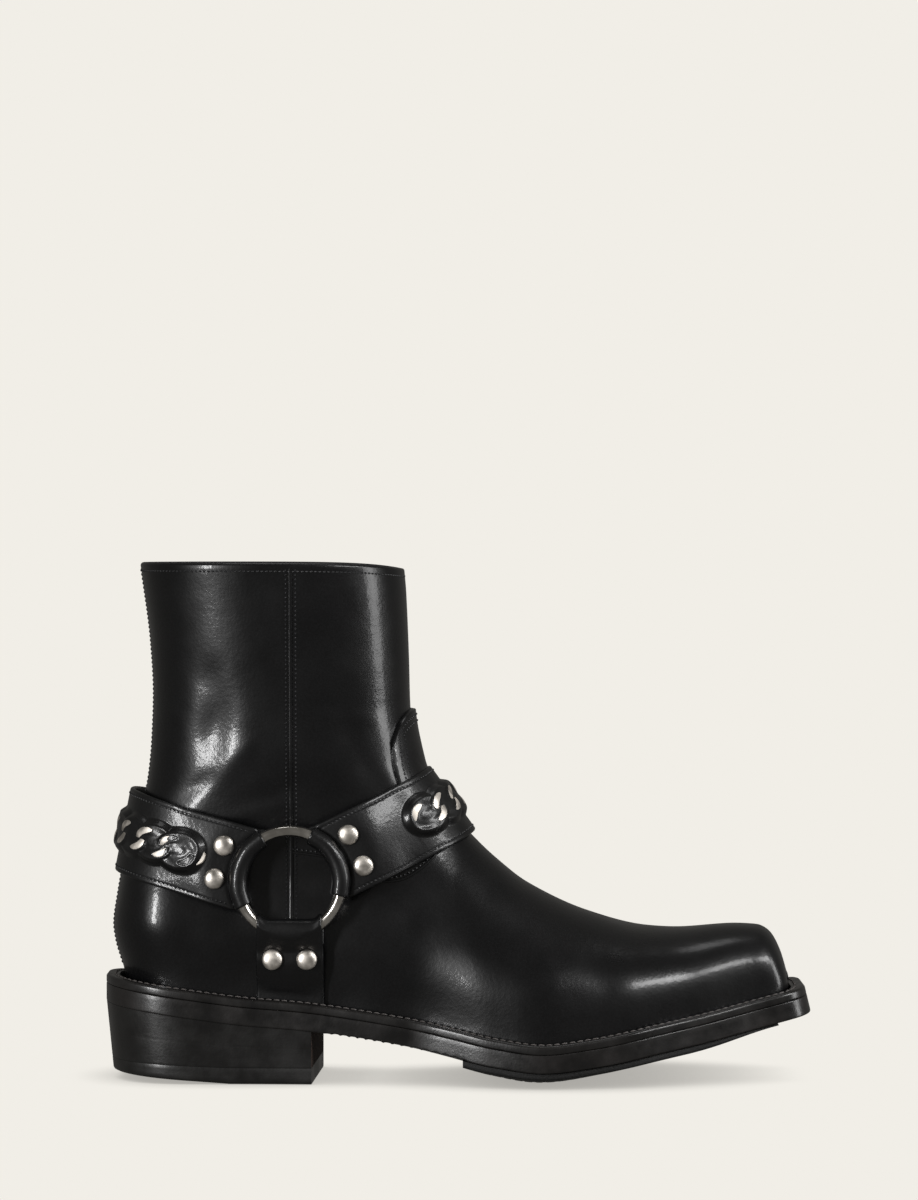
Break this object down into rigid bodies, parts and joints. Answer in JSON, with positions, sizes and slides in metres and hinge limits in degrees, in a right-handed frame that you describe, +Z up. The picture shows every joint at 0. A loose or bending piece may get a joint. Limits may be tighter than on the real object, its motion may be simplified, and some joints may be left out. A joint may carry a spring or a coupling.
{
  "type": "harness boot",
  "caption": "Men's square-toed ankle boot with a leather harness: straps, chain links and studs round a metal ring, on a stacked heel; right shoe.",
  "frame": {"origin": "on the floor, at the middle of the heel's flat rest", "axes": "+X towards the toe, +Z up, -Y towards the outer (lateral) side of this right shoe"},
  "size_m": [0.3113, 0.112, 0.2266],
  "materials": {
    "upper_leather": "polished black",
    "harness_leather": "polished black",
    "welt_leather": "black edge dye",
    "heel_leather": "black edge dye",
    "sole_rubber": "matt black",
    "insole_leather": "brown, matt",
    "polished_nickel": "polished nickel",
    "brushed_nickel": "brushed nickel",
    "zip_tape": "black woven tape"
  },
  "bodies": {
    "boot": {"upper": "upper_leather", "vamp_tongue": "upper_leather", "welt": "welt_leather", "midsole": "welt_leather", "half_sole": "sole_rubber", "heel_stack": "heel_leather", "heel_lift": "sole_rubber", "insole": "insole_leather", "zip_tape": "zip_tape", "zip_slider": "brushed_nickel", "front_strap": "harness_leather", "back_strap": "harness_leather", "bottom_strap": "harness_leather", "stud_1": "brushed_nickel", "stud_2": "brushed_nickel", "stud_3": "brushed_nickel", "stud_4": "brushed_nickel", "stud_5": "brushed_nickel", "stud_6": "brushed_nickel", "front_link_1": "brushed_nickel", "front_link_2": "brushed_nickel", "front_link_3": "brushed_nickel", "front_link_4": "brushed_nickel", "front_link_5": "brushed_nickel", "front_link_6": "brushed_nickel", "back_link_1": "brushed_nickel", "back_link_2": "brushed_nickel", "back_link_3": "brushed_nickel", "back_link_4": "brushed_nickel", "back_link_5": "brushed_nickel", "back_link_6": "brushed_nickel", "back_link_7": "brushed_nickel", "back_link_8": "brushed_nickel", "back_link_9": "brushed_nickel"},
    "ring": {"ring": "polished_nickel"},
    "zip_pull": {"zip_pull": "brushed_nickel"}
  },
  "joints": [
    {"name": "ring_spin", "type": "hinge", "parent": "boot", "child": "ring", "pos_m": [0.00913, -0.0418, 0.08854], "axis": [-0.0246, -0.9992, 0.0311], "continuous": true},
    {"name": "zip_pull_swing", "type": "hinge", "parent": "boot", "child": "zip_pull", "pos_m": [-0.0005, 0.05049, 0.21368], "axis": [1, 0, 0], "range_deg": [0, 150]}
  ]
}
